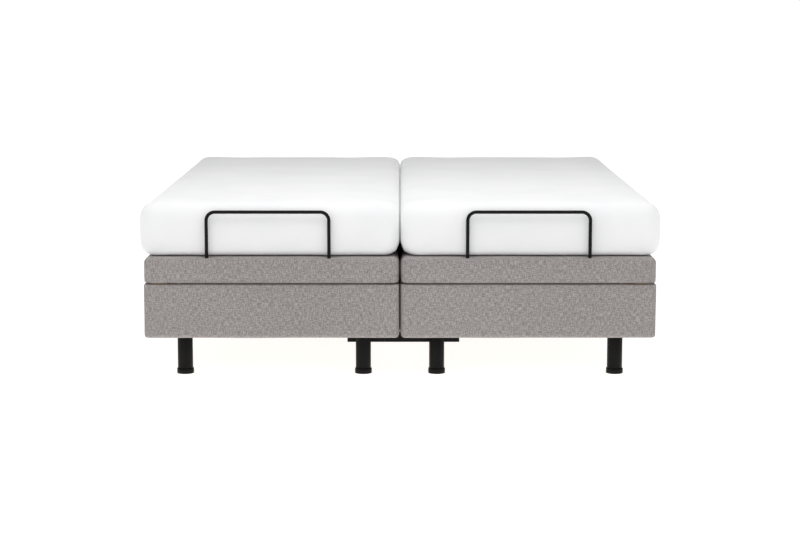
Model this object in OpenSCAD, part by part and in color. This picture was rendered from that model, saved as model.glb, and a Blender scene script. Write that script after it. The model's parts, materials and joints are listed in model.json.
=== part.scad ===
// Adjustable split bed: two upholstered boxes side by side. Each carries a lifting deck in four sections
// (back, seat, thigh, calf), a mattress, two linear actuators and a retainer bar at the foot.
// X runs across the bed, Y from the foot end (minus) to the head end (plus), and Z is up from the floor.

/* [Bed] */
// Width of one upholstered base
base_w = 897; // [890:1:900]
// Gap between the two bases
base_gap = 6; // [5:1:12]
// Length of a base
base_l = 2020; // [2000:1:2060]

/* [Box] */
// Height of the underside of the box above the floor
box_z = 137; // [120:1:180]
// Height of the box
box_h = 193; // [188:1:220]
// Thickness of the boards in the box
board = 18; // [16:1:18]
// Thickness of the fabric cover of the box
cover = 2.5; // [2:0.5:3]

/* [Deck] */
// Height of a deck section
deck_h = 91; // [90:1:100]
// Clearance between the box and the deck
deck_gap = 3; // [2:0.5:5]
// Clearance between neighbouring deck sections
section_gap = 8; // [7:0.5:9]
// Foot-side end of the seat section
seat_y0 = -70; // [-75:1:-65]
// Head-side end of the seat section
seat_y1 = 240; // [235:1:250]
// Knee end of the thigh section
knee_y = -446; // [-460:1:-440]

/* [Motion] */
// Highest angle of the back section
back_max = 60; // [50:1:60]
// Highest angle of the thigh section
thigh_max = 35; // [25:1:35]
// Height of a hinge axis over the line of its push rod
lever_h = 110; // [108:1:112]

/* [Mattress] */
// Width of a mattress
mattress_w = 901; // [880:1:902]
// Thickness of a mattress
mattress_h = 192; // [160:1:220]
// Radius of the long upper edges of a mattress
mattress_r = 62; // [40:1:70]

/* [Retainer bar] */
// Outer width of the retainer bar
bar_w = 441; // [380:1:600]
// Height of the retainer bar over the deck
bar_h = 164; // [120:1:170]
// Thickness of the retainer bar
bar_d = 12; // [10:1:12]
// Sideways place of the left retainer bar
left_bar_shift = -12; // [-15:1:15]

/* [Legs] */
// Thickness of a leg
leg_d = 54; // [40:1:58]
// Thickness of a foot cap
glide_d = 60; // [60:1:70]
// Height of a foot cap
glide_h = 17; // [12:1:25]
// Distance from the side of the base to the middle of a leg
leg_in_x = 131.5; // [100:0.5:180]
// Distance from the end of the base to the middle of a leg
leg_in_y = 80; // [75:1:88]

/* [Hidden] */
$fn = 48;

FABRIC = [0.64, 0.61, 0.59];
KNIT = [0.95, 0.95, 0.95];
BLACK = [0.07, 0.07, 0.08];
STEEL = [0.45, 0.46, 0.48];
ZINC = [0.72, 0.73, 0.75];
WOOD = [0.78, 0.64, 0.45];
CABLE = [0.12, 0.12, 0.13];

LEFT = -1;
RIGHT = 1;
ENDS = [-1, 1];
seam = 0.2;                 // hairline between separate boards, tubes and padded borders
eps = 1;                    // how far a cut runs past a face

// Box
bed_pitch = base_w + base_gap;
board_x = base_w / 2 - cover;
board_y = base_l / 2 - cover;
board_z0 = box_z + cover;
board_z1 = box_z + box_h - cover;
inner_x = board_x - board;
inner_y = board_y - board;
corner_r = 20;
box_low_r = 16;
box_top_r = 6;
hem_w = 40;                 // cover turned in under the box
leg_board_y = 850;          // board that takes the legs and the coupling bar
leg_board_l = 130;

// Legs
leg_x = base_w / 2 - leg_in_x;
leg_y = base_l / 2 - leg_in_y;
leg_shift = 4;
stud_d = 10;
stud_h = 14;
glide_wall = 5;

// Headboard bolts in the head-end board
head_bolt_d = 8.5;
head_bolt_pitch = 600;
head_bolt_z = box_z + 98;

// Deck
deck_z0 = box_z + box_h + deck_gap;
deck_z1 = deck_z0 + deck_h;
pad_x = base_w / 2;
frame_x = pad_x - 12.5;
frame_z0 = deck_z0 + 4;
rail_h = 50;
ply = 12;
ply_z0 = frame_z0 + rail_h;
ply_z1 = ply_z0 + ply;
end_foam = 12;              // padding at a section's end
foot_foam = 8;              // padding in front of the foot rail
front_r = 12;               // rounding of the deck's foot and head ends
fit = 0.3;                  // room between a frame and its padding, or a loose bore
cross_w = 31;
cross_x = 394;

// Hinges, with the plates in three upright planes counted outwards from the middle of the base
end_r = 16;
knee_r = 8;
hinge_z = deck_z1 - end_r;
back_y = seat_y1 + section_gap + end_r;
thigh_y = seat_y0 - section_gap - end_r;
knee_ax_y = knee_y - section_gap - knee_r;
knee_ax_z = deck_z0 + knee_r;
plate = 4;
plane_a = 396;              // seat plates and calf brackets
plane_b = 401;              // plates of the back and thigh sections
plane_c = 389;              // calf links
boss_r = 12;
pin_d = 10;
pin_fit = 0.1;              // bore over pin in a running fit
clip_d = 16;
clip_t = 2;
rail_a = plane_a + plate;
rail_b = plane_b + plate;
slot_x0 = plane_a - 1.5;
slot_x1 = rail_b + 4;
slot_l = 56;
slot_drop = 63;             // lowest point of the upper hinge slots under their axis
knee_slot_l = 28;
knee_slot_z = knee_ax_z + 15;

// Calf links: both pivots lie below their hinges by the same step, so the calf stays level
link_dy = -20;
link_dz = -108;
link_pin_d = 12;
link_w = 20;
link_t = 5;
link_y0 = thigh_y + link_dy;
link_z0 = hinge_z + link_dz;
link_y1 = knee_ax_y + link_dy;
link_z1 = knee_ax_z + link_dz;
link_loose = 0.6;           // bore over pin at the calf end

// Chassis
rail_x0 = 402;
chassis_z = box_z + 73;
chassis_h = 40;
chassis_z1 = chassis_z + chassis_h;
tube = 30;
end_tube_y = 945;
cable_tube_y = 35;
cable_tube_z1 = chassis_z + 8;
post_l = 26;
post_y = [40, 104];

// Actuators, each measured from its rear eye along the way it pushes
act_x = 60;
rod_z = hinge_z - lever_h;
back_eye_y = -207;
leg_eye_y = 292;
mount_step = 28;            // eye to cross tube
gearbox_at = 17;
gearbox_l = 80;
gearbox_w = 70;
gearbox_drop = 73;
gearbox_h = 101;
tube_at = gearbox_at + gearbox_l;
act_tube_d = 36;
act_bore_d = 27;
bush_l = 20;
back_tube_l = 270;
leg_tube_l = 215;
motor_d = 52;
motor_l = 120;
motor_drop = 46;
rod_d = 20;
rod_pin_d = 12;
rod_eye_l = 28;
rod_eye_h = 26;
rod_keep = 30;              // rod left behind the bush at full travel
fork_x0 = 12;
fork_t = 5;
cheek_h = 16;

// Lift frames
back_travel = 2 * lever_h * tan(back_max / 2);
thigh_travel = 2 * lever_h * tan(thigh_max / 2);
lift_tube_y = 32;
lift_tube_w = 25;
lift_tube_z = -63;
lift_tube_h = 30;
back_slot_w = 17.6;
thigh_slot_w = 13.6;
lever_top = lift_tube_z - seam;
back_lever = [[32, lever_top], [57, lever_top], [57, -66], [10, -112], [-45, -134], [-77, -128], [-84, -108],
    [-76, -88], [-62, -81], [-10, -80], [32, -74]];
thigh_lever = [[32, lever_top], [57, lever_top], [57, -66], [20, -112], [-15, -132], [-45, -132], [-54, -115],
    [-52, -96], [-40, -86], [-10, -80], [32, -74]];

// Control box
ctrl_w = 80;
ctrl_l = 200;
ctrl_h = 50;
ctrl_y = -30;
ctrl_x = rail_x0 - seam - ctrl_w;
ctrl_z = cable_tube_z1 + seam;
inlet_w = 20;
inlet_h = 12;
inlet_depth = 10;
cable_d = 6;
cable_z = cable_tube_z1 + cable_d / 2 + fit;
cable_y = [28, 42];

// Mattress
mattress_y0 = -base_l / 2 + 32;
mattress_y1 = base_l / 2;
mattress_z0 = deck_z1;
mattress_z1 = deck_z1 + mattress_h;
mattress_low_r = 40;
mattress_plan_r = 62;
cut = 0.5;                  // half the width of a cut between two mattress parts
mattress_lap = 10;          // how far the bending parts reach over the seat section

// Retainer bar
bar_y = -base_l / 2 + 22;
bar_bend = 30;
bar_z0 = frame_z0 + 8;
bar_z1 = deck_z1 + bar_h - bar_d / 2;
bar_x = bar_w / 2 - bar_d / 2;

// Coupling bars
coupler_l = 400;
coupler_y = 860;
coupler_w = 40;
coupler_drop = 32;
coupler_shift = 12;         // the coupling bars sit a little off the middle
coupler_t = 4;
screw_x = [90, 160];
screw_d = 8;
screw_l = 22;
screw_head = 13;
screw_head_h = 5;

// Both halves of a base, mirrored about its middle plane
module pair() {
    children();
    mirror([1, 0, 0]) children();
}

// Puts one base in its place
module base(side) {
    translate([side * bed_pitch / 2, 0, 0]) children();
}

// Raises an outline drawn in Y and Z into a solid from x0 to x1
module along_x(x0, x1) {
    translate([x0, 0, 0]) rotate([90, 0, 90]) linear_extrude(x1 - x0) children();
}

// Frames of the two upper hinges, with Y pointing away from the seat section
module at_back() {
    translate([0, back_y, hinge_z]) children();
}

module at_thigh() {
    translate([0, thigh_y, hinge_z]) mirror([0, 1, 0]) children();
}

// Frame of the knee hinge, with Y pointing to the foot end
module at_knee() {
    translate([0, knee_ax_y, knee_ax_z]) mirror([0, 1, 0]) children();
}

// Frames of the actuators, with Y pointing the way the rod pushes
module at_back_actuator() {
    translate([act_x, back_eye_y, rod_z]) children();
}

module at_leg_actuator() {
    translate([-act_x, leg_eye_y, rod_z]) mirror([0, 1, 0]) children();
}

// Rectangle with its own radius at each corner, counted from the low corner towards plus X
module rounded(a, b, r) {
    corner = [[a[0], a[1]], [b[0], a[1]], [b[0], b[1]], [a[0], b[1]]];
    inward = [[1, 1], [-1, 1], [-1, -1], [1, -1]];
    polygon([
        [a[0] + r[0], a[1]], [b[0] - r[1], a[1]], [b[0], a[1] + r[1]], [b[0], b[1] - r[2]],
        [b[0] - r[2], b[1]], [a[0] + r[3], b[1]], [a[0], b[1] - r[3]], [a[0], a[1] + r[0]]
    ]);
    for (i = [0:3]) if (r[i] > 0) translate(corner[i] + r[i] * inward[i]) circle(r[i]);
}

// Box and legs -----------------------------------------------------------------------------------

// Outer shape of the box, drawn in by inset on all sides
module box_shape(inset) {
    x = pad_x - inset;
    y = base_l / 2 - inset;
    z0 = box_z + inset;
    z1 = box_z + box_h - inset;
    plan = corner_r - inset;
    r = [box_low_r - inset, box_low_r - inset, box_top_r - inset, box_top_r - inset];
    intersection() {
        translate([0, 0, z0]) linear_extrude(z1 - z0) rounded([-x, -y], [x, y], [plan, plan, plan, plan]);
        along_x(-x, x) rounded([-y, z0], [y, z1], r);
        translate([0, y, 0]) rotate([90, 0, 0]) linear_extrude(2 * y) rounded([-x, z0], [x, z1], r);
    }
}

module box_boards(side) {
    end_w = 2 * (inner_x - seam);
    color(WOOD) difference() {
        intersection() {
            union() {
                pair() translate([inner_x, -board_y, board_z0])
                    cube([board, 2 * board_y, board_z1 - board_z0]);
                for (s = ENDS) translate([-end_w / 2, s * (board_y - board / 2) - board / 2, board_z0])
                    cube([end_w, board, board_z1 - board_z0]);
                for (s = ENDS)
                    translate([-end_w / 2, s * (leg_board_y + leg_board_l / 2) - leg_board_l / 2, board_z0])
                    cube([end_w, leg_board_l, board]);
            }
            box_shape(cover);
        }
        for (s = ENDS) {
            at_legs(side, s) translate([0, 0, board_z0 - eps])
                cylinder(d = stud_d + fit, h = board + 2 * eps);
            for (x = screw_x)
                translate([coupler_shift + side * (x - bed_pitch / 2), s * (coupler_y + coupler_w / 2),
                    board_z0 - eps]) cylinder(d = screw_d + fit, h = board + 2 * eps);
        }
        head_bolts();
    }
}

// The two legs of a base at one end, set a little towards the middle of the bed
module at_legs(side, s) {
    for (x = [-leg_x, leg_x]) translate([x - side * leg_shift, s * leg_y, 0]) children();
}

// Bores for the headboard bolts, through board and cover
module head_bolts() {
    pair() translate([head_bolt_pitch / 2, inner_y - eps, head_bolt_z]) rotate([-90, 0, 0])
        cylinder(d = head_bolt_d, h = board + cover + 2 * eps);
}

module box_cover() {
    color(FABRIC) difference() {
        box_shape(0);
        box_shape(cover);
        translate([-inner_x, -inner_y, board_z0]) cube([2 * inner_x, 2 * inner_y, box_h]);
        translate([-board_x + hem_w, -board_y + hem_w, box_z - eps])
            cube([2 * (board_x - hem_w), 2 * (board_y - hem_w), 2 * eps + cover]);
        head_bolts();
    }
}

module legs(side) {
    color(BLACK) for (s = ENDS) at_legs(side, s) translate([0, 0, glide_wall]) {
        cylinder(d = leg_d, h = board_z0 - glide_wall);
        cylinder(d = stud_d, h = board_z0 - glide_wall + stud_h);
    }
}

module leg_glides(side) {
    color(BLACK) for (s = ENDS) at_legs(side, s) difference() {
        cylinder(d = glide_d, h = glide_h);
        translate([0, 0, glide_wall]) cylinder(d = leg_d + fit, h = glide_h);
    }
}

// Chassis ----------------------------------------------------------------------------------------

module cross_tube(y, z1, h) {
    half = rail_x0 - seam;
    translate([-half, y - tube / 2, z1 - h]) cube([2 * half, tube, h]);
}

// Two cheeks on a cross tube that hold the rear eye of an actuator
module cheeks() {
    for (s = ENDS) along_x(s * fork_x0 - (s < 0 ? fork_t : 0), s * fork_x0 + (s < 0 ? 0 : fork_t))
        difference() {
            translate([-mount_step - tube / 2, chassis_z1 + seam - rod_z])
                square([mount_step + tube, rod_z - chassis_z1 - seam + cheek_h]);
            circle(d = rod_pin_d + pin_fit);
        }
}

// Bracket on a chassis rail with the fixed pivot of a calf link
module link_bracket() {
    translate([0, link_y0, link_z0]) {
        along_x(plane_a, rail_x0 - seam) {
            circle(tube / 2);
            translate([-tube / 2, chassis_z - link_z0]) square([tube, link_z0 - chassis_z]);
        }
        along_x(plane_c - clip_t, plane_a) circle(d = link_pin_d);
    }
}

module chassis() {
    color(STEEL) {
        pair() {
            translate([rail_x0, -inner_y + seam, chassis_z])
                cube([inner_x - rail_x0 - seam, 2 * (inner_y - seam), chassis_h]);
            for (y = post_y) translate([rail_x0, y, chassis_z1 + seam])
                cube([post_l - seam, post_l, frame_z0 - chassis_z1 - seam]);
            link_bracket();
        }
        for (y = [-end_tube_y, back_eye_y - mount_step, leg_eye_y + mount_step, end_tube_y])
            cross_tube(y, chassis_z1, chassis_h);
        cross_tube(cable_tube_y, cable_tube_z1, tube);
        at_back_actuator() cheeks();
        at_leg_actuator() cheeks();
    }
}

// Actuators --------------------------------------------------------------------------------------

module actuator(tube_l) {
    color(BLACK) {
        difference() {
            union() {
                translate([-gearbox_w / 2, gearbox_at, -gearbox_drop])
                    cube([gearbox_w, gearbox_l, gearbox_h]);
                translate([0, tube_at, 0]) rotate([-90, 0, 0]) cylinder(d = act_tube_d, h = tube_l);
                translate([0, tube_at, -motor_drop]) rotate([-90, 0, 0])
                    cylinder(d = motor_d, h = motor_l);
                along_x(-rod_d / 2, rod_d / 2) {
                    circle(d = rod_eye_h);
                    translate([0, 1 - rod_eye_h / 2]) square([gearbox_at, rod_eye_h - 2]);
                }
            }
            translate([0, tube_at + fork_t, 0]) rotate([-90, 0, 0])
                cylinder(d = act_bore_d, h = tube_l - bush_l - fork_t);
            translate([0, tube_at, 0]) rotate([-90, 0, 0]) cylinder(d = rod_d + pin_fit, h = tube_l + eps);
        }
        rotate([0, 90, 0]) cylinder(d = rod_pin_d, h = 2 * (fork_x0 + fork_t + 1), center = true);
    }
}

// Push rod drawn in, with its cross pin at distance pin from the rear eye
module push_rod(pin, tube_l, travel) {
    tail = tube_at + tube_l - bush_l - travel - rod_keep;
    color(ZINC) {
        translate([0, tail, 0]) rotate([-90, 0, 0]) cylinder(d = rod_d, h = pin - rod_eye_l / 2 - tail);
        translate([-rod_d / 2, pin - rod_eye_l / 2, -rod_eye_h / 2])
            cube([rod_d, rod_eye_l, rod_eye_h]);
        translate([0, pin, 0]) rotate([0, 90, 0])
            cylinder(d = rod_pin_d, h = 2 * (fork_x0 + fork_t + 1), center = true);
    }
}

module back_actuator() {
    at_back_actuator() actuator(back_tube_l);
}

module leg_actuator() {
    at_leg_actuator() actuator(leg_tube_l);
}

module back_rod() {
    at_back_actuator() push_rod(back_y - back_travel / 2 - back_eye_y, back_tube_l, back_travel);
}

module leg_rod() {
    at_leg_actuator() push_rod(leg_eye_y - thigh_y - thigh_travel / 2, leg_tube_l, thigh_travel);
}

module control_box() {
    color(BLACK) difference() {
        translate([ctrl_x, ctrl_y, ctrl_z]) cube([ctrl_w, ctrl_l, ctrl_h]);
        translate([ctrl_x + (ctrl_w - inlet_w) / 2, ctrl_y + ctrl_l - inlet_depth, ctrl_z + ctrl_h / 3])
            cube([inlet_w, inlet_depth + eps, inlet_h]);
    }
}

// Round cable through the given points, with a ball at each turn
module cable(points) {
    for (i = [1:len(points) - 1]) {
        step = points[i] - points[i - 1];
        translate(points[i - 1]) rotate([0, acos(step[2] / norm(step)), atan2(step[1], step[0])])
            cylinder(d = cable_d, h = norm(step));
        if (i < len(points) - 1) translate(points[i]) sphere(d = cable_d);
    }
}

module motor_cables() {
    motor_z = rod_z - motor_drop;
    back_end = back_eye_y + tube_at + motor_l;
    leg_end = leg_eye_y - tube_at - motor_l;
    color(CABLE) for (side = [LEFT, RIGHT]) base(side) {
        cable([[act_x, back_end, motor_z], [act_x, cable_y[0], motor_z], [act_x, cable_y[0], cable_z],
            [ctrl_x, cable_y[0], cable_z]]);
        cable([[-act_x, leg_end, motor_z], [-act_x, cable_y[1], motor_z], [-act_x, cable_y[1], cable_z],
            [ctrl_x, cable_y[1], cable_z]]);
    }
}

// Wooden frames of the deck sections -------------------------------------------------------------

module deck_frame(y0, y1, rail_x, cross) {
    for (s = ENDS) translate([s > 0 ? rail_x : -frame_x, y0, frame_z0])
        cube([frame_x - rail_x, y1 - y0, rail_h]);
    for (y = concat([y0, y1 - cross_w], cross)) translate([-cross_x, y, frame_z0])
        cube([2 * cross_x, cross_w, rail_h]);
    translate([-frame_x, y0, ply_z0]) cube([2 * frame_x, y1 - y0, ply]);
}

// Room for the hinge plates at a section's end, from y0 to y1 and from z0 to z1
module hinge_slots(y0, y1, z0, z1) {
    pair() translate([slot_x0, y0, z0]) cube([slot_x1 - slot_x0, y1 - y0, z1 - z0]);
}

// Slot of an upper hinge, open at the top
module top_slots(y0, y1) {
    hinge_slots(y0, y1, hinge_z - slot_drop, deck_z1 + eps);
}

// Slot of the knee hinge, open from below
module low_slots(y0, y1, z1) {
    hinge_slots(y0, y1, deck_z0 - eps, z1);
}

module seat_frame() {
    color(WOOD) difference() {
        deck_frame(seat_y0 + end_foam, seat_y1 - end_foam, rail_a, []);
        seat_slots();
    }
}

module seat_slots() {
    top_slots(seat_y0 - eps, seat_y0 + slot_l);
    top_slots(seat_y1 - slot_l, seat_y1 + eps);
}

module back_frame() {
    y0 = back_y - end_r + end_foam;
    y1 = base_l / 2 - end_foam;
    color(WOOD) difference() {
        deck_frame(y0, y1, rail_b, [(2 * y0 + y1) / 3, (y0 + 2 * y1) / 3]);
        top_slots(y0 - end_foam - eps, y0 - end_foam + slot_l);
    }
}

module thigh_frame() {
    y0 = knee_y + end_foam;
    y1 = thigh_y + end_r - end_foam;
    color(WOOD) difference() {
        deck_frame(y0, y1, rail_b, []);
        top_slots(y1 + end_foam - slot_l, y1 + end_foam + eps);
    }
}

module calf_frame(bar_shift) {
    y0 = -base_l / 2 + foot_foam;
    y1 = knee_ax_y + knee_r - end_foam;
    color(WOOD) difference() {
        deck_frame(y0, y1, rail_a, [(y0 + y1) / 2]);
        knee_slots();
        bar_sockets(bar_shift);
    }
}

module knee_slots() {
    knee_end = knee_ax_y + knee_r;
    low_slots(knee_end - knee_slot_l, knee_end + eps, knee_slot_z);
}

// Bores that the feet of the retainer bar stand in
module bar_sockets(bar_shift) {
    for (s = ENDS) translate([bar_shift + s * bar_x, bar_y, bar_z0]) cylinder(d = bar_d + fit, h = deck_h);
}

// Padded covers of the deck sections -------------------------------------------------------------

// Plain padded top and four borders from y0 to y1, open from below for a frame; r is as in rounded()
module pad(y0, y1, frame_y0, frame_y1, r) {
    room_x = frame_x + fit;
    room_z = ply_z1 + fit;
    difference() {
        along_x(-pad_x, pad_x) rounded([y0, deck_z0], [y1, deck_z1], r);
        translate([-room_x, frame_y0 - fit, deck_z0 - eps])
            cube([2 * room_x, frame_y1 - frame_y0 + 2 * fit, room_z - deck_z0 + eps]);
        translate([-pad_x - eps, y0 - eps, room_z]) cube([2 * (pad_x + eps), y1 - y0 + 2 * eps, seam]);
        pair() translate([room_x, y0 - eps, deck_z0 - eps])
            cube([seam, y1 - y0 + 2 * eps, room_z - deck_z0 + eps]);
    }
}

module seat_pad() {
    color(FABRIC) difference() {
        pad(seat_y0, seat_y1, seat_y0 + end_foam, seat_y1 - end_foam, [0, 0, knee_r, knee_r]);
        seat_slots();
    }
}

module back_pad() {
    y0 = back_y - end_r;
    color(FABRIC) difference() {
        pad(y0, base_l / 2, y0 + end_foam, base_l / 2 - end_foam, [0, 0, front_r, end_r]);
        top_slots(y0 - eps, y0 + slot_l);
    }
}

module thigh_pad() {
    y1 = thigh_y + end_r;
    color(FABRIC) difference() {
        pad(knee_y, y1, knee_y + end_foam, y1 - end_foam, [0, 0, end_r, knee_r]);
        top_slots(y1 - slot_l, y1 + eps);
        low_slots(knee_y - eps, knee_y + slot_l, ply_z0);
    }
}

module calf_pad(bar_shift) {
    y1 = knee_ax_y + knee_r;
    color(FABRIC) difference() {
        pad(-base_l / 2, y1, -base_l / 2 + foot_foam, y1 - end_foam, [0, knee_r, knee_r, front_r]);
        knee_slots();
        bar_sockets(bar_shift);
    }
}

// Hinge plates, lift frames and links ------------------------------------------------------------

// Round pin on a plate's outer face, with a clip at its end
module plate_pin(x0) {
    along_x(x0, x0 + plate + 3) circle(d = pin_d);
    along_x(x0 + plate + 1.5, x0 + plate + 1.5 + clip_t) circle(d = clip_d);
}

module seat_plate() {
    along_x(plane_a, rail_a) {
        circle(boss_r);
        polygon([[-130, -58], [-34, -58], [-19, -boss_r], [0, -boss_r], [0, boss_r], [-24, boss_r],
            [-40, -24], [-130, -24]]);
    }
    plate_pin(rail_a);
}

module seat_hinge_plates() {
    color(STEEL) pair() {
        at_back() seat_plate();
        at_thigh() seat_plate();
    }
}

// Hinge leaf of the back or thigh section, running on a seat pin
module leaf() {
    along_x(plane_b, rail_b) difference() {
        union() {
            circle(boss_r);
            polygon([[-boss_r, 0], [20, -58], [130, -58], [130, -24], [34, -24], [boss_r, 0]]);
        }
        circle(d = pin_d + pin_fit);
    }
}

// Fork with a slot along its arm, for the cross pin of a push rod
module lever(outline, angle, r0, r1, slot_w) {
    for (s = ENDS) along_x(s * fork_x0 - (s < 0 ? fork_t : 0), s * fork_x0 + (s < 0 ? 0 : fork_t))
        difference() {
            polygon(outline);
            rotate(-angle) {
                translate([0, -r0]) circle(d = slot_w);
                translate([0, -r1]) circle(d = slot_w);
                translate([-slot_w / 2, -r1]) square([slot_w, r1 - r0]);
            }
        }
}

module lift_tube() {
    half = plane_b - seam;
    translate([-half, lift_tube_y, lift_tube_z]) cube([2 * half, lift_tube_w, lift_tube_h]);
}

module back_lift_frame() {
    color(STEEL) at_back() {
        pair() leaf();
        lift_tube();
        translate([act_x, 0, 0]) lever(back_lever, back_max / 2, lever_h + 1, lever_h + 16, back_slot_w);
    }
}

module thigh_lift_frame() {
    color(STEEL) {
        at_thigh() {
            pair() leaf();
            lift_tube();
            translate([-act_x, 0, 0])
                lever(thigh_lever, thigh_max / 2, lever_h - 0.5, lever_h + 6, thigh_slot_w);
        }
        at_knee() pair() knee_plate();
    }
}

module knee_plate() {
    along_x(plane_b, rail_b) difference() {
        union() {
            circle(boss_r);
            polygon([[-130, 44], [-34, 44], [-boss_r, boss_r], [0, boss_r], [0, -boss_r], [-18, -9],
                [-42, 6], [-130, 6]]);
        }
        circle(d = pin_d + pin_fit);
    }
}

module calf_bracket() {
    along_x(plane_a, rail_a) {
        circle(boss_r);
        translate([-link_dy, link_dz]) circle(boss_r + 2);
        polygon([[-9, 8], [6, 14], [14, 44], [110, 44], [110, 6], [46, 0], [34, link_dz], [6, link_dz],
            [-4, -boss_r], [-boss_r, 0]]);
    }
    plate_pin(rail_a);
    translate([0, -link_dy, link_dz]) along_x(plane_c - clip_t, plane_a) circle(d = link_pin_d);
}

module calf_brackets() {
    color(STEEL) at_knee() pair() calf_bracket();
}

// Flat bars that turn on the chassis and carry the lower end of the calf brackets
module calf_links() {
    reach = [link_y1 - link_y0, link_z1 - link_z0];
    color(STEEL) pair() translate([0, link_y0, link_z0]) along_x(plane_c, plane_c + link_t) difference() {
        union() {
            circle(d = link_w);
            translate(reach) circle(d = link_w);
            rotate(atan2(reach[1], reach[0])) translate([0, -link_w / 2]) square([norm(reach), link_w]);
        }
        circle(d = link_pin_d + pin_fit);
        translate(reach) circle(d = link_pin_d + link_loose);
    }
}

// Mattress and retainer bar ----------------------------------------------------------------------

module mattress_part(y0, y1) {
    half = mattress_w / 2;
    low = mattress_low_r;
    plan = mattress_plan_r;
    color(KNIT) intersection() {
        translate([0, y1, 0]) rotate([90, 0, 0]) linear_extrude(y1 - y0)
            rounded([-half, mattress_z0], [half, mattress_z1], [low, low, mattress_r, mattress_r]);
        translate([0, 0, mattress_z0]) linear_extrude(mattress_h)
            rounded([-half, mattress_y0], [half, mattress_y1], [plan, plan, plan, plan]);
        along_x(-half, half) rounded([mattress_y0, mattress_z0], [mattress_y1, mattress_z1],
            [low, low, mattress_r, mattress_r]);
    }
}

module seat_mattress() {
    mattress_part(thigh_y + mattress_lap + cut, back_y - mattress_lap - cut);
}

module back_mattress() {
    mattress_part(back_y - mattress_lap + cut, mattress_y1);
}

module thigh_mattress() {
    mattress_part(knee_ax_y + cut, thigh_y + mattress_lap - cut);
}

module calf_mattress() {
    mattress_part(mattress_y0, knee_ax_y - cut);
}

module retainer_bar(bar_shift) {
    color(BLACK) translate([bar_shift, bar_y, 0]) {
        pair() {
            translate([bar_x, 0, bar_z0]) cylinder(d = bar_d, h = bar_z1 - bar_bend - bar_z0);
            translate([bar_x - bar_bend, 0, bar_z1 - bar_bend]) rotate([90, 0, 0])
                rotate_extrude(angle = 90) translate([bar_bend, 0]) circle(d = bar_d);
        }
        translate([bar_bend - bar_x, 0, bar_z1]) rotate([0, 90, 0])
            cylinder(d = bar_d, h = 2 * (bar_x - bar_bend));
    }
}

// Coupling bars under the middle -----------------------------------------------------------------

module coupler() {
    difference() {
        translate([-coupler_l / 2, coupler_y, box_z - coupler_t]) cube([coupler_l, coupler_w, coupler_t]);
        pair() for (x = screw_x) translate([x, coupler_y + coupler_w / 2, box_z - coupler_t - eps])
            cylinder(d = screw_d + 1, h = coupler_t + 2 * eps);
    }
    translate([-coupler_l / 2, coupler_y + coupler_w - coupler_t, box_z - coupler_drop])
        cube([coupler_l, coupler_t, coupler_drop]);
}

module foot_coupler() {
    color(BLACK) translate([coupler_shift, 0, 0]) mirror([0, 1, 0]) coupler();
}

module head_coupler() {
    color(BLACK) translate([coupler_shift, 0, 0]) coupler();
}

module coupler_screws() {
    color(ZINC) for (s = ENDS, side = [LEFT, RIGHT], x = screw_x)
        translate([coupler_shift + side * x, s * (coupler_y + coupler_w / 2), box_z - coupler_t]) {
            cylinder(d = screw_d, h = screw_l);
            translate([0, 0, -screw_head_h]) cylinder(d = screw_head, h = screw_head_h, $fn = 6);
        }
}

// Nodes ------------------------------------------------------------------------------------------

base(LEFT) box_boards(LEFT);  // left_box_boards
base(LEFT) box_cover();  // left_box_cover
base(LEFT) chassis();  // left_chassis
base(LEFT) legs(LEFT);  // left_legs
base(LEFT) leg_glides(LEFT);  // left_leg_glides
base(LEFT) seat_frame();  // left_seat_frame
base(LEFT) seat_pad();  // left_seat_pad
base(LEFT) seat_hinge_plates();  // left_seat_hinge_plates
base(LEFT) seat_mattress();  // left_seat_mattress
base(LEFT) back_frame();  // left_back_frame
base(LEFT) back_pad();  // left_back_pad
base(LEFT) back_lift_frame();  // left_back_lift_frame
base(LEFT) back_mattress();  // left_back_mattress
base(LEFT) thigh_frame();  // left_thigh_frame
base(LEFT) thigh_pad();  // left_thigh_pad
base(LEFT) thigh_lift_frame();  // left_thigh_lift_frame
base(LEFT) thigh_mattress();  // left_thigh_mattress
base(LEFT) calf_frame(left_bar_shift);  // left_calf_frame
base(LEFT) calf_pad(left_bar_shift);  // left_calf_pad
base(LEFT) calf_brackets();  // left_calf_brackets
base(LEFT) calf_mattress();  // left_calf_mattress
base(LEFT) retainer_bar(left_bar_shift);  // left_retainer_bar
base(LEFT) calf_links();  // left_calf_links
base(LEFT) back_actuator();  // left_back_actuator
base(LEFT) back_rod();  // left_back_rod
base(LEFT) leg_actuator();  // left_leg_actuator
base(LEFT) leg_rod();  // left_leg_rod
base(LEFT) control_box();  // left_control_box
base(RIGHT) box_boards(RIGHT);  // right_box_boards
base(RIGHT) box_cover();  // right_box_cover
base(RIGHT) chassis();  // right_chassis
base(RIGHT) legs(RIGHT);  // right_legs
base(RIGHT) leg_glides(RIGHT);  // right_leg_glides
base(RIGHT) seat_frame();  // right_seat_frame
base(RIGHT) seat_pad();  // right_seat_pad
base(RIGHT) seat_hinge_plates();  // right_seat_hinge_plates
base(RIGHT) seat_mattress();  // right_seat_mattress
base(RIGHT) back_frame();  // right_back_frame
base(RIGHT) back_pad();  // right_back_pad
base(RIGHT) back_lift_frame();  // right_back_lift_frame
base(RIGHT) back_mattress();  // right_back_mattress
base(RIGHT) thigh_frame();  // right_thigh_frame
base(RIGHT) thigh_pad();  // right_thigh_pad
base(RIGHT) thigh_lift_frame();  // right_thigh_lift_frame
base(RIGHT) thigh_mattress();  // right_thigh_mattress
base(RIGHT) calf_frame(0);  // right_calf_frame
base(RIGHT) calf_pad(0);  // right_calf_pad
base(RIGHT) calf_brackets();  // right_calf_brackets
base(RIGHT) calf_mattress();  // right_calf_mattress
base(RIGHT) retainer_bar(0);  // right_retainer_bar
base(RIGHT) calf_links();  // right_calf_links
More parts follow.
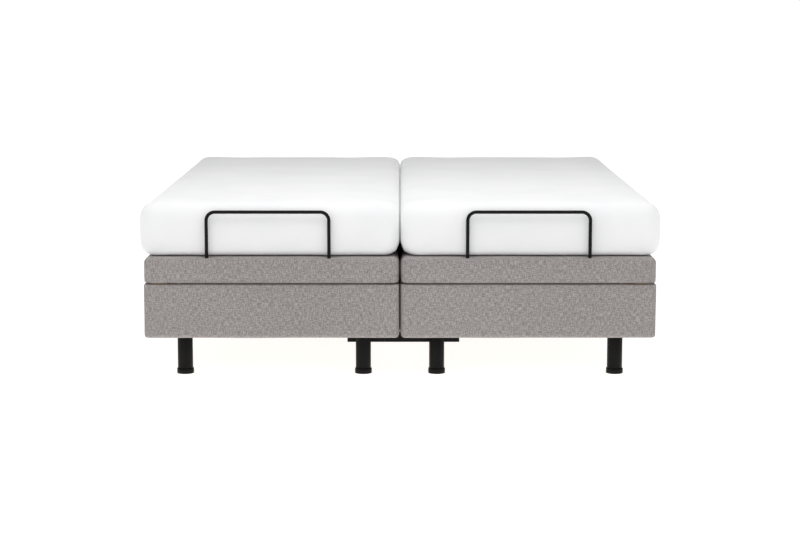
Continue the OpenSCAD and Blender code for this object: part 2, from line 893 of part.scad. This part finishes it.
base(RIGHT) back_actuator();  // right_back_actuator
base(RIGHT) back_rod();  // right_back_rod
base(RIGHT) leg_actuator();  // right_leg_actuator
base(RIGHT) leg_rod();  // right_leg_rod
base(RIGHT) control_box();  // right_control_box
motor_cables();
foot_coupler();
head_coupler();
coupler_screws();
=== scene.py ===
import json
import math

import bmesh
import bpy
import numpy as np
from mathutils import Matrix, Vector, noise


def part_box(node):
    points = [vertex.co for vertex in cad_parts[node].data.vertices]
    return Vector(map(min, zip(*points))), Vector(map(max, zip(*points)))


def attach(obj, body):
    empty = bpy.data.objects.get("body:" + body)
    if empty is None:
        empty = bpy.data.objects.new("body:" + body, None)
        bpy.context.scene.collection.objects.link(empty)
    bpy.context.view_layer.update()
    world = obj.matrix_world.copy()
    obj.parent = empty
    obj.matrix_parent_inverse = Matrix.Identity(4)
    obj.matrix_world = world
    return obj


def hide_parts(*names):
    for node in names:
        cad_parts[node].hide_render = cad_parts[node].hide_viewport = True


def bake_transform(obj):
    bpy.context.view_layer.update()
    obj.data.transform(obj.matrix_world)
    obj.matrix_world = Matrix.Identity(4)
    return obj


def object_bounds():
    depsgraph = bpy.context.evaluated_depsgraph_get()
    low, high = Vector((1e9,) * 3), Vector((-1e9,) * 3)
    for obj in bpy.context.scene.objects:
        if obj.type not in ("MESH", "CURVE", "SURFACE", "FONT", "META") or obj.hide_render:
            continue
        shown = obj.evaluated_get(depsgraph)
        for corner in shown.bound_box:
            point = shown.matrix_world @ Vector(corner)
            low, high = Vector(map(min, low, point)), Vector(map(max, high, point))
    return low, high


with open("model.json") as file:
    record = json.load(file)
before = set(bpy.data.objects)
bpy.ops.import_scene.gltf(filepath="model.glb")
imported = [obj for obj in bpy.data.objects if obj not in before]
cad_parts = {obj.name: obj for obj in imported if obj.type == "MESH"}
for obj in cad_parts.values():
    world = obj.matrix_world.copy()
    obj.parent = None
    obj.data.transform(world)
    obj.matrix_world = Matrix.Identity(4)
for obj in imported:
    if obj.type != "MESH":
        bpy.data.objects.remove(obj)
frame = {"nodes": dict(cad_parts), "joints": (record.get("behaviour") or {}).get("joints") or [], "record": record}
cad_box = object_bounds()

# Looks of the adjustable split bed: padded covers, mattresses, materials, light and camera.
# Metres, as in the frame. The left half of the bed is at negative x, its foot end at negative y.
SIDES = ("left", "right")
SECTIONS = ("seat", "back", "thigh", "calf")
SECTION_BODY = {"seat": "base", "back": "{}_back_section", "thigh": "{}_thigh_section",
                "calf": "{}_calf_section"}
JOINTS = {j["name"]: j for j in frame["joints"]}


# Meshes -----------------------------------------------------------------------------------------

def marks(low, high, low_r, high_r, step, turns=4):
    """Places along one edge of a block: close together where it is rounded, a step apart between."""
    inner = max(2, round((high - high_r - low - low_r) / step))
    return np.concatenate([
        np.linspace(low, low + low_r, turns, endpoint=False),
        np.linspace(low + low_r, high - high_r, inner, endpoint=False),
        np.linspace(high - high_r, high, turns + 1),
    ])


def new_object(name, mesh):
    piece = bpy.data.objects.new(name, mesh)
    bpy.context.scene.collection.objects.link(piece)
    return piece


def rounded_block(name, low, high, side_r, low_r, top_r, step, squarer=2.0, full_corners=False):
    """Closed block of quads with round edges: side_r in plan, low_r and top_r in height.
    squarer over 2 makes the lower edges across the block tighter than the ones along it.
    full_corners gives corners where three edge roundings cross, as the box has, in place of balls."""
    places = [marks(low[0], high[0], side_r, side_r, step), marks(low[1], high[1], side_r, side_r, step),
              marks(low[2], high[2], low_r, top_r, step)]
    last = [len(p) - 1 for p in places]
    index, points, faces = {}, [], []

    def vertex(ijk):
        if ijk not in index:
            index[ijk] = len(points)
            points.append([places[a][ijk[a]] for a in range(3)])
        return index[ijk]

    for axis in range(3):
        u, v = (axis + 1) % 3, (axis + 2) % 3
        for end in (0, last[axis]):
            for i in range(last[u]):
                for j in range(last[v]):
                    ring = []
                    for a, b in ((i, j), (i + 1, j), (i + 1, j + 1), (i, j + 1)):
                        ijk = [0, 0, 0]
                        ijk[axis], ijk[u], ijk[v] = end, a, b
                        ring.append(vertex(tuple(ijk)))
                    faces.append(ring if end else ring[::-1])
    points = np.array(points)
    inner_low = np.array([low[0] + side_r, low[1] + side_r, low[2] + low_r])
    inner_high = np.array([high[0] - side_r, high[1] - side_r, high[2] - top_r])
    inner = np.clip(points, inner_low, inner_high)
    radii = np.where(points > inner, [side_r, side_r, top_r], [side_r, side_r, low_r])
    out = (points - inner) / radii
    x, y, z = np.abs(out).T
    if full_corners:
        far = np.maximum(np.maximum(np.hypot(x, y), np.hypot(y, z)), np.hypot(x, z))
    else:
        power = np.where(out[:, 2] < 0, squarer, 2.0)
        far = np.hypot((y ** power + z ** power) ** (1 / power), x)
    out /= np.maximum(far, 1e-9)[:, None]
    mesh = bpy.data.meshes.new(name)
    mesh.from_pydata((inner + out * radii).tolist(), [], faces)
    mesh.update()
    return new_object(name, mesh)


def coords(piece):
    flat = np.empty(len(piece.data.vertices) * 3)
    piece.data.vertices.foreach_get("co", flat)
    return flat.reshape(-1, 3)


def set_coords(piece, points):
    piece.data.vertices.foreach_set("co", np.asarray(points, float).ravel())
    piece.data.update()


def apply_modifiers(piece):
    depsgraph = bpy.context.evaluated_depsgraph_get()
    mesh = bpy.data.meshes.new_from_object(piece.evaluated_get(depsgraph))
    piece.modifiers.clear()
    old, name = piece.data, piece.data.name
    piece.data = mesh
    bpy.data.meshes.remove(old)
    piece.data.name = name


def smooth(piece, angle=50):
    piece.data.shade_smooth()
    piece.data.set_sharp_from_angle(angle=math.radians(angle))


def subdivide(piece):
    piece.modifiers.new("finer", "SUBSURF").levels = 1
    apply_modifiers(piece)


AIR = 4.0                       # pressure that swells a stuffed cover
FRAMES = 20                     # length of its simulation
SEED_STEP = (7.3, 3.1, 5.7)     # moves the noise for each seed
HAIR = 0.0003                   # half of the gap left between the bed's halves where they meet
SWAY = 0.0022                   # how far the parts that stay put bend past the bed's middle


def inflate(piece, cap, pinned):
    """Cloth simulation of a stuffed cover.
    pinned tells how firmly each point is held, and cap how far one may go."""
    rest = coords(piece)
    group = piece.vertex_groups.new(name="held")
    for i, weight in enumerate(pinned(rest)):
        group.add([i], float(weight), "REPLACE")
    cloth = piece.modifiers.new("cloth", "CLOTH")
    cloth.settings.quality = 4
    cloth.settings.mass = 0.4
    cloth.settings.tension_stiffness = 30
    cloth.settings.compression_stiffness = 30
    cloth.settings.shear_stiffness = 12
    cloth.settings.bending_stiffness = 2
    cloth.settings.use_pressure = True
    cloth.settings.uniform_pressure_force = AIR
    cloth.settings.vertex_group_mass = group.name
    cloth.settings.effector_weights.gravity = 0
    cloth.point_cache.frame_start = 1
    cloth.point_cache.frame_end = FRAMES
    for number in range(1, FRAMES + 1):
        bpy.context.scene.frame_set(number)
    moved = coords(piece.evaluated_get(bpy.context.evaluated_depsgraph_get()))
    piece.modifiers.clear()
    piece.vertex_groups.clear()
    bpy.context.scene.frame_set(1)
    step = moved - rest
    far = np.maximum(np.linalg.norm(step, axis=1), 1e-9)[:, None]
    set_coords(piece, rest + step / far * cap * np.tanh(far / cap))


def cut_away(piece, cutters):
    """Takes other closed meshes out of a closed piece and removes them."""
    for cutter in cutters:
        boolean = piece.modifiers.new("cut", "BOOLEAN")
        boolean.operation = "DIFFERENCE"
        boolean.solver = "EXACT"
        boolean.object = cutter
    apply_modifiers(piece)
    for cutter in cutters:
        bpy.data.objects.remove(cutter)


def blocks(boxes):
    """One mesh of plain blocks that don't overlap, each (low, high), to cut with."""
    bm = bmesh.new()
    for low, high in boxes:
        middle = (Vector(low) + Vector(high)) / 2
        size = Vector(high) - Vector(low)
        place = Matrix.Translation(middle) @ Matrix.Diagonal((*size, 1))
        bmesh.ops.create_cube(bm, size=1, matrix=place)
    mesh = bpy.data.meshes.new("cutter")
    bm.to_mesh(mesh)
    bm.free()
    return new_object("cutter", mesh)


def waves(points, size, height, seed):
    """Gentle unevenness of stretched fabric, one number for each point."""
    shift = Vector([seed * step for step in SEED_STEP])
    return np.array([height * noise.noise(Vector(p) / size + shift) for p in points])


def meet_in_middle(side, points, sway, open_ends=0.07):
    """Swells the inner side of a cover up to the other half's, but not at the bed's ends, where the gap
    shows. sway bends the plane where they meet, so no light comes straight through."""
    swollen = 0.012             # how deep into the cover the swelling reaches
    sway_turns = 7.0            # radians for each metre along the bed
    inner = points[:, 0].max() if side == "left" else points[:, 0].min()
    near = np.clip(1 - np.abs(points[:, 0] - inner) / swollen, 0, 1)
    ends = cad_box[1][1] - np.abs(points[:, 1])
    shut = np.clip(ends / open_ends, 0, 1) ** 2
    hair = HAIR if side == "right" else -HAIR
    target = sway * np.sin(points[:, 1] * sway_turns) + hair
    points[:, 0] += (target - inner) * near * shut
    return points


def normals(piece):
    flat = np.empty(len(piece.data.vertices) * 3)
    piece.data.vertices.foreach_get("normal", flat)
    return flat.reshape(-1, 3)


# Materials --------------------------------------------------------------------------------------

# Yarns of the woven cover
FABRIC_DARK = (0.219, 0.198, 0.191)
FABRIC = (0.312, 0.287, 0.279)
FABRIC_PALE = (0.434, 0.407, 0.399)
WEAVE_PITCH = 0.0022


class Shader:
    """A material with one Principled shader and short calls for its nodes."""

    def __init__(self, name, **values):
        self.material = bpy.data.materials.new(name)
        self.material.use_nodes = True
        self.nodes = self.material.node_tree.nodes
        self.links = self.material.node_tree.links
        self.shader = self.nodes["Principled BSDF"]
        for socket, value in values.items():
            self.shader.inputs[socket.replace("_", " ")].default_value = value
        self.place = self.nodes.new("ShaderNodeTexCoord")

    def node(self, kind, inputs=(), **settings):
        made = self.nodes.new("ShaderNode" + kind)
        for key, value in settings.items():
            setattr(made, key, value)
        for socket, value in dict(inputs).items():
            self.feed(made.inputs[socket], value)
        return made

    def feed(self, socket, value):
        if isinstance(value, bpy.types.NodeSocket):
            self.links.new(value, socket)
        else:
            socket.default_value = value

    def math(self, operation, *values):
        return self.node("Math", enumerate(values), operation=operation).outputs[0]

    def scaled(self, vector, scale):
        return self.node("Mapping", {"Vector": vector, "Scale": scale}).outputs[0]

    def noise(self, vector, scale, detail=2.0, roughness=0.5):
        sizes = {"Vector": vector, "Scale": scale, "Detail": detail, "Roughness": roughness}
        return self.node("TexNoise", sizes).outputs["Fac"]

    def ramp(self, factor, *stops):
        made = self.node("ValToRGB", {"Fac": factor})
        ramp = made.color_ramp
        while len(ramp.elements) < len(stops):
            ramp.elements.new(0.5)
        for element, (place, colour) in zip(ramp.elements, stops):
            element.position = place
            element.color = (*colour, 1) if isinstance(colour, tuple) else (colour, colour, colour, 1)
        return made.outputs["Color"]

    def mix(self, factor, a, b, kind="MIX"):
        """Two colours mixed. Sockets 6, 7 and 2 are the node's colour ones."""
        made = self.node("Mix", data_type="RGBA", blend_type=kind)
        for socket, value in ((0, factor), (6, a), (7, b)):
            self.feed(made.inputs[socket], value)
        return made.outputs[2]

    def bump(self, height, strength, distance, under=None):
        inputs = {"Height": height, "Strength": strength, "Distance": distance}
        if under is not None:
            inputs["Normal"] = under
        return self.node("Bump", inputs).outputs["Normal"]

    def on_cloth(self):
        """Coordinates that lie along each face of an upright block: across, up or along, and depth zero."""
        place = self.node("SeparateXYZ", {"Vector": self.place.outputs["Object"]}).outputs
        facing = self.node("SeparateXYZ", {"Vector": self.place.outputs["Normal"]}).outputs
        x, y, z = (self.math("ABSOLUTE", facing[i]) for i in range(3))
        end_on = self.math("GREATER_THAN", x, self.math("MAXIMUM", y, z))
        flat = self.math("GREATER_THAN", z, self.math("MAXIMUM", x, y))
        across = self.node("Mix", {0: end_on, 2: place[0], 3: place[1]}).outputs[0]
        along = self.node("Mix", {0: flat, 2: place[2], 3: place[1]}).outputs[0]
        return self.node("CombineXYZ", {0: across, 1: along}).outputs[0]


def woven_cover():
    """Melange weave: flecked yarns across and up, a coarse plain weave and a soft fuzz."""
    m = Shader("woven_cover", Roughness=0.92, Sheen_Weight=0.2, Sheen_Roughness=0.5, Specular_IOR_Level=0.2)
    cloth = m.on_cloth()
    weft = m.noise(m.scaled(cloth, (70, 330, 1)), 1.0, 1.0, 0.5)
    warp = m.noise(m.scaled(cloth, (350, 60, 1)), 1.0, 1.0, 0.5)
    fleck = m.noise(m.scaled(cloth, (300, 340, 1)), 1.0, 2.0, 0.6)
    wear = m.noise(m.place.outputs["Object"], 3.5, 3.0)
    yarn = m.math("ADD", m.math("MULTIPLY", weft, 0.36), m.math("MULTIPLY", warp, 0.38))
    yarn = m.math("ADD", yarn, m.math("MULTIPLY", fleck, 0.26))
    colour = m.ramp(yarn, (0.40, FABRIC_DARK), (0.5, FABRIC), (0.60, FABRIC_PALE))
    soft = m.ramp(wear, (0.35, 0.95), (0.65, 1.0))
    m.links.new(m.mix(1.0, colour, soft, "MULTIPLY"), m.shader.inputs["Base Color"])
    split = m.node("SeparateXYZ", {"Vector": cloth}).outputs
    over = [m.math("SINE", m.math("MULTIPLY", split[i], 2 * math.pi / WEAVE_PITCH)) for i in range(2)]
    weave = m.math("MULTIPLY", *over)
    threads = m.bump(weave, 0.35, 0.0004)
    m.links.new(m.bump(yarn, 0.5, 0.0008, threads), m.shader.inputs["Normal"])
    return m.material


def mattress_knit():
    """Smooth white knit: tiny loops, a faint unevenness of the foam under it."""
    m = Shader("mattress_knit", Roughness=0.85, Sheen_Weight=0.15, Sheen_Roughness=0.4,
               Specular_IOR_Level=0.25)
    place = m.place.outputs["Object"]
    tone = m.noise(place, 5.0, 3.0)
    colour = m.ramp(tone, (0.3, (0.865, 0.868, 0.875)), (0.7, (0.905, 0.905, 0.905)))
    m.links.new(colour, m.shader.inputs["Base Color"])
    loops = m.node("TexVoronoi", {"Vector": place, "Scale": 420.0}).outputs["Distance"]
    fine = m.bump(loops, 0.18, 0.0005)
    m.links.new(m.bump(m.noise(place, 16.0, 3.0), 0.12, 0.003, fine), m.shader.inputs["Normal"])
    return m.material


def wood():
    """Planed softwood with its grain along the bed."""
    m = Shader("wood", Roughness=0.6)
    place = m.scaled(m.place.outputs["Object"], (1.0, 0.12, 1.0))
    rings = m.noise(place, 26.0, 5.0, 0.6)
    pores = m.noise(m.scaled(place, (1, 0.2, 1)), 320.0, 2.0)
    colour = m.ramp(rings, (0.35, (0.55, 0.37, 0.20)), (0.55, (0.68, 0.50, 0.30)),
                    (0.7, (0.60, 0.42, 0.24)))
    dark = m.ramp(pores, (0.38, 0.82), (0.5, 1.0))
    m.links.new(m.mix(1.0, colour, dark, "MULTIPLY"), m.shader.inputs["Base Color"])
    m.links.new(m.bump(pores, 0.3, 0.0004), m.shader.inputs["Normal"])
    return m.material


def painted(name, colour, worn, rough, grain, metallic=0.0, shine=0.5):
    """Paint, powder coat, plating, plastic or rubber: a grain of its own size and patches of wear."""
    m = Shader(name, Metallic=metallic, Specular_IOR_Level=shine)
    place = m.place.outputs["Object"]
    patches = m.noise(place, 9.0, 4.0, 0.6)
    m.links.new(m.ramp(patches, (0.4, colour), (0.75, worn)), m.shader.inputs["Base Color"])
    m.links.new(m.ramp(patches, (0.3, rough - 0.07), (0.7, rough + 0.07)), m.shader.inputs["Roughness"])
    m.links.new(m.bump(m.noise(place, 1 / grain, 2.0), 0.25, grain / 4), m.shader.inputs["Normal"])
    return m.material


MATERIALS = {
    "woven_cover": woven_cover(),
    "mattress_knit": mattress_knit(),
    "wood": wood(),
    "black_steel": painted("black_steel", (0.004, 0.004, 0.004), (0.007, 0.007, 0.007),
                           0.45, 0.0009, shine=0.12),
    "black_plastic": painted("black_plastic", (0.005, 0.005, 0.005), (0.009, 0.009, 0.009),
                             0.5, 0.0007, shine=0.15),
    "grey_steel": painted("grey_steel", (0.10, 0.105, 0.11), (0.13, 0.135, 0.14), 0.42, 0.0012),
    "zinc_steel": painted("zinc_steel", (0.52, 0.53, 0.55), (0.63, 0.64, 0.66), 0.36, 0.0015, 1.0),
    "cable_rubber": painted("cable_rubber", (0.02, 0.02, 0.02), (0.03, 0.03, 0.03), 0.6, 0.0008),
}
SOFT = ("woven_cover", "mattress_knit", "cable_rubber")      # their CAD edges aren't softened


def dress(piece, slot):
    piece.data.materials.clear()
    piece.data.materials.append(MATERIALS[slot])


EDGE_W = 0.001                  # small bevel on hard edges


def soften_edges(piece, width):
    """Small bevel on a CAD part's edges."""
    weld = piece.modifiers.new("weld", "WELD")
    weld.merge_threshold = 1e-5
    bevel = piece.modifiers.new("bevel", "BEVEL")
    bevel.width = width
    bevel.segments = 2
    bevel.limit_method = "ANGLE"
    bevel.angle_limit = math.radians(40)
    bevel.harden_normals = True


# Camera, light and floor ------------------------------------------------------------------------

SKY = 0.45                      # brightness of the room above
WALLS = 1.05                    # brightness of the walls near the horizon, which show as white
CAMERA_PLACE = (0, -7.548, 1.3255)
CAMERA_DOWN = 8.115             # degrees
FLOOR_REACH = 60.0


def studio():
    scene = bpy.context.scene
    camera = bpy.data.objects.new("camera", bpy.data.cameras.new("camera"))
    scene.collection.objects.link(camera)
    camera.location = CAMERA_PLACE
    camera.rotation_euler = (math.radians(90 - CAMERA_DOWN), 0, 0)
    camera.data.lens = 85
    camera.data.sensor_width = 36
    scene.camera = camera
    scene.view_settings.view_transform = "Standard"

    world = bpy.data.worlds.new("studio")
    world.use_nodes = True
    nodes, links = world.node_tree.nodes, world.node_tree.links
    place = nodes.new("ShaderNodeTexCoord")
    split = nodes.new("ShaderNodeSeparateXYZ")
    rise = nodes.new("ShaderNodeMapRange")
    links.new(place.outputs["Generated"], split.inputs[0])
    links.new(split.outputs["Z"], rise.inputs["Value"])
    for socket, value in (("From Min", 0.01), ("From Max", 0.12), ("To Min", WALLS), ("To Max", SKY)):
        rise.inputs[socket].default_value = value
    nodes["Background"].inputs["Color"].default_value = (1, 1, 1, 1)
    links.new(rise.outputs[0], nodes["Background"].inputs["Strength"])
    scene.world = world

    def area(name, place, aim, size, watts):
        lamp = bpy.data.objects.new(name, bpy.data.lights.new(name, "AREA"))
        lamp.data.shape = "RECTANGLE"
        lamp.data.size, lamp.data.size_y = size
        lamp.data.energy = watts
        lamp.location = place
        lamp.rotation_euler = (Vector(aim) - Vector(place)).to_track_quat("-Z", "Y").to_euler()
        scene.collection.objects.link(lamp)

    area("key", (0, -1.2, 2.8), (0, -1.0, 0.5), (4.5, 2.0), 59)

    mesh = bpy.data.meshes.new("floor")
    corners = [(x * FLOOR_REACH, y * FLOOR_REACH, 0) for x, y in ((-1, -1), (1, -1), (1, 1), (-1, 1))]
    mesh.from_pydata(corners, [], [(0, 1, 2, 3)])
    floor = new_object("floor", mesh)
    m = Shader("floor", Base_Color=(0.6, 0.6, 0.6, 1), Roughness=0.9, Emission_Color=(1, 1, 1, 1),
               Emission_Strength=0.86)
    mesh.materials.append(m.material)


# Box covers -------------------------------------------------------------------------------------

HEM = 0.0425                    # fabric turned in under the box
BOARD = 0.018
BOX_RADII = (0.02, 0.016, 0.006)        # in plan, at the lower and at the upper edges
BOX_SEED = {"left": 3, "right": 4}
WAVES_FADE = 0.02               # the fabric lies still at its seams and waves this far from them


def box_cover(side):
    """Fabric over the four boards, turned in at the top and, with a wide hem, at the bottom."""
    low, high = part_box(side + "_box_cover")
    board_low, board_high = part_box(side + "_box_boards")
    cover = board_low.z - low.z
    inner_radii = [r - cover for r in BOX_RADII]
    piece = rounded_block(side + "_box_cover_fabric", low, high, *BOX_RADII, step=0.022,
                          full_corners=True)
    shift = waves(coords(piece), size=0.22, height=0.0018, seed=BOX_SEED[side])
    shift = np.clip(shift, 0, 0.0012)
    shift *= np.clip((high.z - coords(piece)[:, 2]) / WAVES_FADE, 0, 1)
    set_coords(piece, meet_in_middle(side, coords(piece), SWAY) + normals(piece) * shift[:, None])
    over = 0.02                 # how far the cutting blocks run past a face
    room_low = board_low + Vector((BOARD, BOARD, 0))
    room_high = board_high - Vector((BOARD, BOARD, 0)) + Vector((0, 0, over))
    bottom_low = low + Vector((HEM, HEM, -over))
    bottom_high = high - Vector((HEM, HEM, 0.1))
    cut_away(piece, [
        rounded_block("cutter", board_low, board_high, *inner_radii, step=0.06, full_corners=True),
        blocks([(room_low, room_high)]),
        blocks([(bottom_low, bottom_high)]),
    ])
    smooth(piece)
    return piece


# Deck pads --------------------------------------------------------------------------------------

def deck_pad(side, section):
    """Padded cover of one deck section, open from below, with slots where the hinge plates pass."""
    name = side + "_" + section
    low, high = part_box(name + "_pad")
    frame_low, frame_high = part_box(name + "_frame")
    skin = 0.0015
    inset = Vector((skin, skin, 0.0))
    sag = Vector((0, 0, 0.0015))        # the padding's lower edge hangs into the gap over the box
    piece = rounded_block(name + "_padded_cover", low + inset - sag, high - inset,
                          side_r=0.024, low_r=0.007, top_r=0.02, step=0.017)

    def pinned(points):
        """Held at the lower edge and over the flat top, so the sides swell."""
        up = (points[:, 2] - low.z) / (high.z - low.z)
        return np.clip(np.maximum(1 - up * 6, (up - 0.8) * 6), 0, 1)

    inflate(piece, cap=0.003, pinned=pinned)
    points = coords(piece)
    points[:, 2] = np.minimum(points[:, 2], high.z - HAIR)
    if section == "calf":
        points = bar_dents(side, points)
    set_coords(piece, meet_in_middle(side, points, SWAY if section == "seat" else 0.0))
    subdivide(piece)
    shift = waves(coords(piece), size=0.16, height=0.0012, seed=len(name))
    shift *= np.clip((coords(piece)[:, 2] - low.z) / WAVES_FADE, 0, 1)
    set_coords(piece, coords(piece) + normals(piece) * shift[:, None])
    fit = 0.0005
    under = 0.01                # how far the cut for the frame starts below the padding
    room_low = (frame_low.x - fit, frame_low.y - fit, low.z - under)
    room_high = (frame_high.x + fit, frame_high.y + fit, frame_high.z + fit)
    cut_away(piece, [blocks([(room_low, room_high)]), blocks(hinge_slots(side, section))])
    smooth(piece)
    return piece


def bar_dents(side, points):
    """The retainer bar's feet pull the padding down a little where they stand."""
    deep = 0.004
    wide = 0.022
    fades_over = 0.04
    low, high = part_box(side + "_retainer_bar")
    half = (high.y - low.y) / 2
    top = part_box(side + "_calf_pad")[1].z
    for x in (low.x + half, high.x - half):
        away = np.hypot(points[:, 0] - x, points[:, 1] - (low.y + half))
        upper = np.clip((points[:, 2] - (top - fades_over)) / fades_over, 0, 1)
        points[:, 2] -= deep * np.exp(-(away / wide) ** 2) * upper
    return points


def hinge_slots(side, section):
    """Boxes, one for each hinge plate that passes a section's end."""
    low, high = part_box(side + "_" + section + "_pad")
    plates_low, plates_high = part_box(side + "_seat_hinge_plates")
    middle = (low.x + high.x) / 2
    play = 0.002                # room beside a plate
    wide = 0.0145
    over = 0.01                 # how far a slot runs past the padding
    long, calf_long = 0.056, 0.028
    outer = (plates_high.x - plates_low.x) / 2 + play
    inner = outer - wide
    foot_end, head_end = (low.y - over, low.y + long), (high.y - long, high.y + over)
    calf_end = (high.y - calf_long, high.y + over)
    from_above = (0.345, high.z + over)
    thigh_below = (low.z - over, 0.387)
    calf_below = (low.z - over, 0.356)
    ends = {"seat": [(foot_end, from_above), (head_end, from_above)],
            "back": [(foot_end, from_above)],
            "thigh": [(head_end, from_above), (foot_end, thigh_below)],
            "calf": [(calf_end, calf_below)]}[section]
    boxes = []
    for (y0, y1), (z0, z1) in ends:
        for a, b in ((inner, outer), (-outer, -inner)):
            boxes.append(((middle + a, y0, z0), (middle + b, y1, z1)))
    return boxes


# Mattresses -------------------------------------------------------------------------------------

OVERHANG = 0.018                # how far a mattress swells past the base on its outer side


def mattress(side):
    """The whole mattress of one side as one closed mesh."""
    boxes = [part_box(f"{side}_{section}_mattress") for section in SECTIONS]
    low = Vector([min(box[0][i] for box in boxes) for i in range(3)])
    high = Vector([max(box[1][i] for box in boxes) for i in range(3)])
    if side == "left":
        low.x -= OVERHANG
    else:
        high.x += OVERHANG
    inset = 0.004
    round_r = 0.058
    edge = Vector((inset, inset, 0))
    piece = rounded_block(side + "_mattress", low + edge, high - edge - Vector((0, 0, inset)),
                          side_r=round_r, low_r=0.055, top_r=0.06, step=0.017, squarer=4.5)

    def pinned(points):
        """Held by the deck under it."""
        up = (points[:, 2] - low.z) / (high.z - low.z)
        return np.clip(1 - up * 5, 0, 1)

    inflate(piece, cap=inset + 0.001, pinned=pinned)
    points = coords(piece)
    for axis in range(2):
        least, most = points[:, axis].min(), points[:, axis].max()
        width = high[axis] - low[axis]
        points[:, axis] = low[axis] + (points[:, axis] - least) / (most - least) * width
    points[:, 2] = np.maximum(points[:, 2], low.z + 0.0005)
    inner, toward = (high.x, 1) if side == "left" else (low.x, -1)
    up = (points[:, 2] - low.z) / (high.z - low.z)
    deep = np.clip(np.abs(points[:, 0] - inner) / round_r, 0, 1)
    pressed = deep - deep ** (1 + 0.8 * np.clip((up - 0.4) / 0.2, 0, 1))
    points[:, 0] += toward * round_r * pressed      # the two mattresses lean on each other at the top
    set_coords(piece, meet_in_middle(side, points, sway=0.0, open_ends=0.02))
    subdivide(piece)
    return piece


def part_of(whole, name, y0, y1):
    """Stretch of a mattress between two upright cuts, closed at both."""
    bm = bmesh.new()
    bm.from_mesh(whole.data)
    for y, way in ((y0, -1), (y1, 1)):
        if y is None:
            continue
        geometry = bm.verts[:] + bm.edges[:] + bm.faces[:]
        bmesh.ops.bisect_plane(bm, geom=geometry, dist=1e-6, plane_co=(0, y, 0), plane_no=(0, way, 0),
                               clear_outer=True)
        rim = [e for e in bm.edges if e.is_boundary and all(abs(v.co.y - y) < 1e-5 for v in e.verts)]
        bmesh.ops.contextual_create(bm, geom=rim)
    mesh = bpy.data.meshes.new(name)
    bm.to_mesh(mesh)
    bm.free()
    piece = new_object(name, mesh)
    smooth(piece)
    return piece


def fold(piece, body_a, body_b, pivot, short, long):
    """Bakes a mattress part's placement into its mesh; the part isn't bent.
    body_a, body_b, pivot, short and long are not used."""
    points = coords(piece)
    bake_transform(piece)


def make_mattress(side):
    """Three closed parts that meet at mid-seat and mid-thigh, where the mattress doesn't bend."""
    whole = mattress(side)
    back, thigh, knee = (Vector(JOINTS[f"{side}_{joint}"]["pos_m"])
                         for joint in ("back_lift", "thigh_lift", "calf_fold"))
    seat_cut = (back.y + thigh.y) / 2
    thigh_cut = (thigh.y + knee.y) / 2
    thigh_body = side + "_thigh_section"
    # Mesh, its two bodies, the hinge, the short and the long stretch of its fold, the CAD nodes replaced
    parts = [
        (part_of(whole, side + "_mattress_head", seat_cut, None), ("base", side + "_back_section"),
         back, 0.05, 0.35, ("seat_mattress", "back_mattress")),
        (part_of(whole, side + "_mattress_middle", thigh_cut, seat_cut), ("base", thigh_body),
         thigh, 0.05, 0.26, ("thigh_mattress",)),
        (part_of(whole, side + "_mattress_foot", None, thigh_cut), (thigh_body, side + "_calf_section"),
         knee, 0.09, 0.30, ("calf_mattress",)),
    ]
    for piece, bodies, pivot, short, long, nodes in parts:
        dress(piece, "mattress_knit")
        fold(piece, *bodies, pivot, short, long)
        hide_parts(*(side + "_" + node for node in nodes))
    bpy.data.objects.remove(whole)


# The bed ----------------------------------------------------------------------------------------

studio()
for subpart in frame["record"]["subparts"]:
    cad_piece = frame["nodes"][subpart["node"]]
    dress(cad_piece, subpart["material_slot"])
    if subpart["material_slot"] not in SOFT:
        soften_edges(cad_piece, EDGE_W)

for side in SIDES:
    cover = box_cover(side)
    dress(cover, "woven_cover")
    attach(cover, "base")
    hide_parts(side + "_box_cover")
    for section in SECTIONS:
        pad = deck_pad(side, section)
        dress(pad, "woven_cover")
        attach(pad, SECTION_BODY[section].format(side))
        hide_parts(f"{side}_{section}_pad")
    make_mattress(side)
